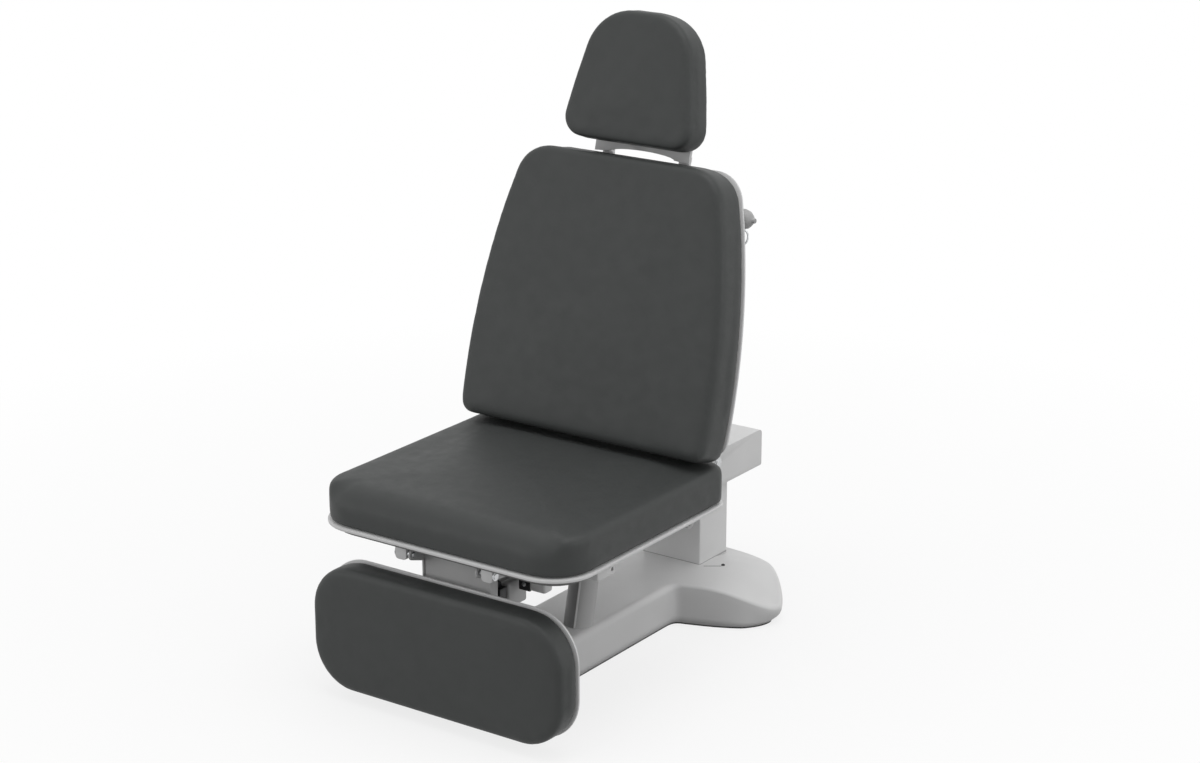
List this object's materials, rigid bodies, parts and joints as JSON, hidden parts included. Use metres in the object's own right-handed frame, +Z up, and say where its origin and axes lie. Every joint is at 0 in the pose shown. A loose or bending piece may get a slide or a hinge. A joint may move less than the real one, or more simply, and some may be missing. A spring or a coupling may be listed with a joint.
{
  "type": "procedure chair",
  "caption": "Padded procedure chair on a low wheel-less base: lift arm on a pedestal, reclining back, swinging leg rest and a sliding, tilting headrest.",
  "frame": {"origin": "on the floor, under the middle of the overall box", "axes": "+Z up, -Y is the front where the leg rest hangs, +X is the sitter's left hand side, X = 0 is the plane of symmetry"},
  "size_m": [0.6272, 1.0786, 1.3081],
  "materials": {
    "charcoal_vinyl": "satin",
    "white_tray": "satin",
    "light_grey_paint": "satin",
    "mid_grey_paint": "satin",
    "steel": "satin",
    "black_plastic": "satin",
    "grey_plastic": "satin",
    "board": "matte",
    "rubber": "matte"
  },
  "bodies": {
    "base": {"base_cover": "light_grey_paint", "floor_plate": "mid_grey_paint", "cover_support": "mid_grey_paint", "foot_front_left": "rubber", "foot_front_right": "rubber", "foot_rear_left": "rubber", "foot_rear_right": "rubber", "pedestal_post": "mid_grey_paint", "pedestal_cover": "light_grey_paint", "arm_pin": "steel", "link_pin": "steel", "lift_barrel": "mid_grey_paint"},
    "lift_arm": {"lift_arm": "light_grey_paint", "push_pin": "steel", "fork_pin": "steel"},
    "lift_link": {"lift_link": "mid_grey_paint"},
    "lift_stage": {"lift_stage": "steel"},
    "lift_rod": {"lift_rod": "steel"},
    "seat": {"lift_bracket": "mid_grey_paint", "bracket_pin": "steel", "seat_rail_left": "light_grey_paint", "seat_rail_right": "light_grey_paint", "leg_hinge_pin_left": "steel", "leg_hinge_pin_right": "steel", "seat_pan": "board", "seat_tray": "white_tray", "seat_cushion": "charcoal_vinyl", "recline_bracket_left": "mid_grey_paint", "recline_bracket_right": "mid_grey_paint", "accessory_bracket": "white_tray", "leg_gearbox": "black_plastic", "leg_actuator_tube": "light_grey_paint", "leg_motor": "mid_grey_paint", "leg_actuator_hanger": "mid_grey_paint", "recline_gearbox": "black_plastic", "recline_tube": "light_grey_paint"},
    "back": {"back_shell": "white_tray", "back_cushion": "charcoal_vinyl", "back_arm_left": "mid_grey_paint", "back_arm_right": "mid_grey_paint", "headrest_guide_left": "mid_grey_paint", "headrest_guide_right": "mid_grey_paint", "knob_block": "black_plastic", "back_hook": "steel"},
    "lock_knob": {"lock_knob": "grey_plastic"},
    "headrest_slide": {"headrest_post_left": "light_grey_paint", "headrest_post_right": "light_grey_paint", "headrest_crossbar": "light_grey_paint", "tilt_pin": "steel"},
    "head": {"head_plate": "light_grey_paint", "head_cushion": "charcoal_vinyl"},
    "leg_rest": {"leg_cheek_left": "mid_grey_paint", "leg_cheek_right": "mid_grey_paint", "leg_panel": "mid_grey_paint", "leg_lever": "black_plastic", "leg_tray": "white_tray", "leg_cushion": "charcoal_vinyl"},
    "leg_rod": {"leg_rod": "steel"},
    "recline_rod": {"recline_rod": "steel"}
  },
  "joints": [
    {"name": "lift_arm_swing", "type": "hinge", "parent": "base", "child": "lift_arm", "pos_m": [0, 0.35875, 0.3105], "axis": [-1, 0, 0], "range_deg": [0, 30]},
    {"name": "link_swing", "type": "hinge", "parent": "base", "child": "lift_link", "pos_m": [0, 0.35875, 0.2725], "axis": [-1, 0, 0], "range_deg": [0, 30]},
    {"name": "seat_level", "type": "hinge", "parent": "lift_arm", "child": "seat", "pos_m": [0, -0.16575, 0.3105], "axis": [1, 0, 0], "range_deg": [0, 30]},
    {"name": "lift_stage_slide", "type": "slide", "parent": "base", "child": "lift_stage", "axis": [0, 0.2178, 0.976], "range_m": [0, 0.11024]},
    {"name": "lift_rod_slide", "type": "slide", "parent": "lift_stage", "child": "lift_rod", "axis": [0, 0.2178, 0.976], "range_m": [0, 0.11024]},
    {"name": "back_recline", "type": "hinge", "parent": "seat", "child": "back", "pos_m": [0, 0.05086, 0.29815], "axis": [-1, 0, 0], "range_deg": [0, 74]},
    {"name": "recline_rod_slide", "type": "slide", "parent": "seat", "child": "recline_rod", "axis": [0, -1, 0], "range_m": [0, 0.07223]},
    {"name": "leg_rest_swing", "type": "hinge", "parent": "seat", "child": "leg_rest", "pos_m": [0, -0.48575, 0.333], "axis": [-1, 0, 0], "range_deg": [0, 85]},
    {"name": "leg_rod_slide", "type": "slide", "parent": "seat", "child": "leg_rod", "axis": [0, -1, 0], "range_m": [0, 0.14865]},
    {"name": "headrest_height", "type": "slide", "parent": "back", "child": "headrest_slide", "axis": [0, 0.2672, 0.9636], "range_m": [0, 0.12]},
    {"name": "headrest_tilt", "type": "hinge", "parent": "headrest_slide", "child": "head", "pos_m": [0, 0.21729, 1.06609], "axis": [1, 0, 0], "range_deg": [-30, 15]},
    {"name": "lock_knob_turn", "type": "hinge", "parent": "back", "child": "lock_knob", "pos_m": [0.229, 0.19101, 0.91222], "axis": [1, 0, 0], "range_deg": [-360, 0]}
  ],
  "couplings": [
    {"joint": "link_swing", "follows": "lift_arm_swing", "ratio": 1},
    {"joint": "seat_level", "follows": "lift_arm_swing", "ratio": 1},
    {"joint": "lift_stage_slide", "follows": "lift_arm_swing", "m_per_rad": 0.21052},
    {"joint": "lift_rod_slide", "follows": "lift_arm_swing", "m_per_rad": 0.21052},
    {"joint": "recline_rod_slide", "follows": "back_recline", "m_per_rad": 0.055916},
    {"joint": "leg_rod_slide", "follows": "leg_rest_swing", "m_per_rad": 0.10019}
  ]
}
